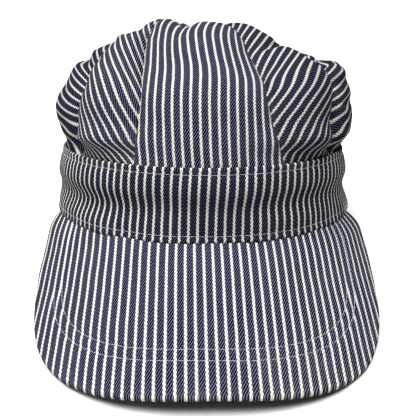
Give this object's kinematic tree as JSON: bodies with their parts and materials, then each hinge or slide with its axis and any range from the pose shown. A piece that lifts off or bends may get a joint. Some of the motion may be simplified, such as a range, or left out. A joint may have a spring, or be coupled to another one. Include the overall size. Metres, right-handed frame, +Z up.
{
  "type": "railroad engineer cap",
  "caption": "Soft striped work cap with a gored crown over a deep band and a stiff curved brim, worn on the head.",
  "frame": {"origin": "on the ground under the middle of the cap, as it rests by itself on its brim corners and the back of its band", "axes": "+Z up, -Y the way the brim points, +X to the right seen from the front"},
  "size_m": [0.1698, 0.2866, 0.1222],
  "materials": {
    "band": "indigo and cream striped cotton twill, stripes upright, light topstitching along both edges",
    "brim": "indigo and cream striped cotton twill over a stiff board, stripes fore and aft, two rows of light topstitching",
    "crown_front": "indigo and cream striped cotton twill, soft and lightly creased",
    "crown_front_right": "indigo and cream striped cotton twill, soft and lightly creased",
    "crown_side_right": "indigo and cream striped cotton twill, soft and lightly creased",
    "crown_back_right": "indigo and cream striped cotton twill, soft and lightly creased",
    "crown_back": "indigo and cream striped cotton twill, soft and lightly creased",
    "crown_back_left": "indigo and cream striped cotton twill, soft and lightly creased",
    "crown_side_left": "indigo and cream striped cotton twill, soft and lightly creased",
    "crown_front_left": "indigo and cream striped cotton twill, soft and lightly creased"
  },
  "bodies": {
    "root": {"band": "band", "brim": "brim", "crown_front": "crown_front", "crown_front_right": "crown_front_right", "crown_side_right": "crown_side_right", "crown_back_right": "crown_back_right", "crown_back": "crown_back", "crown_back_left": "crown_back_left", "crown_side_left": "crown_side_left", "crown_front_left": "crown_front_left"}
  },
  "joints": []
}
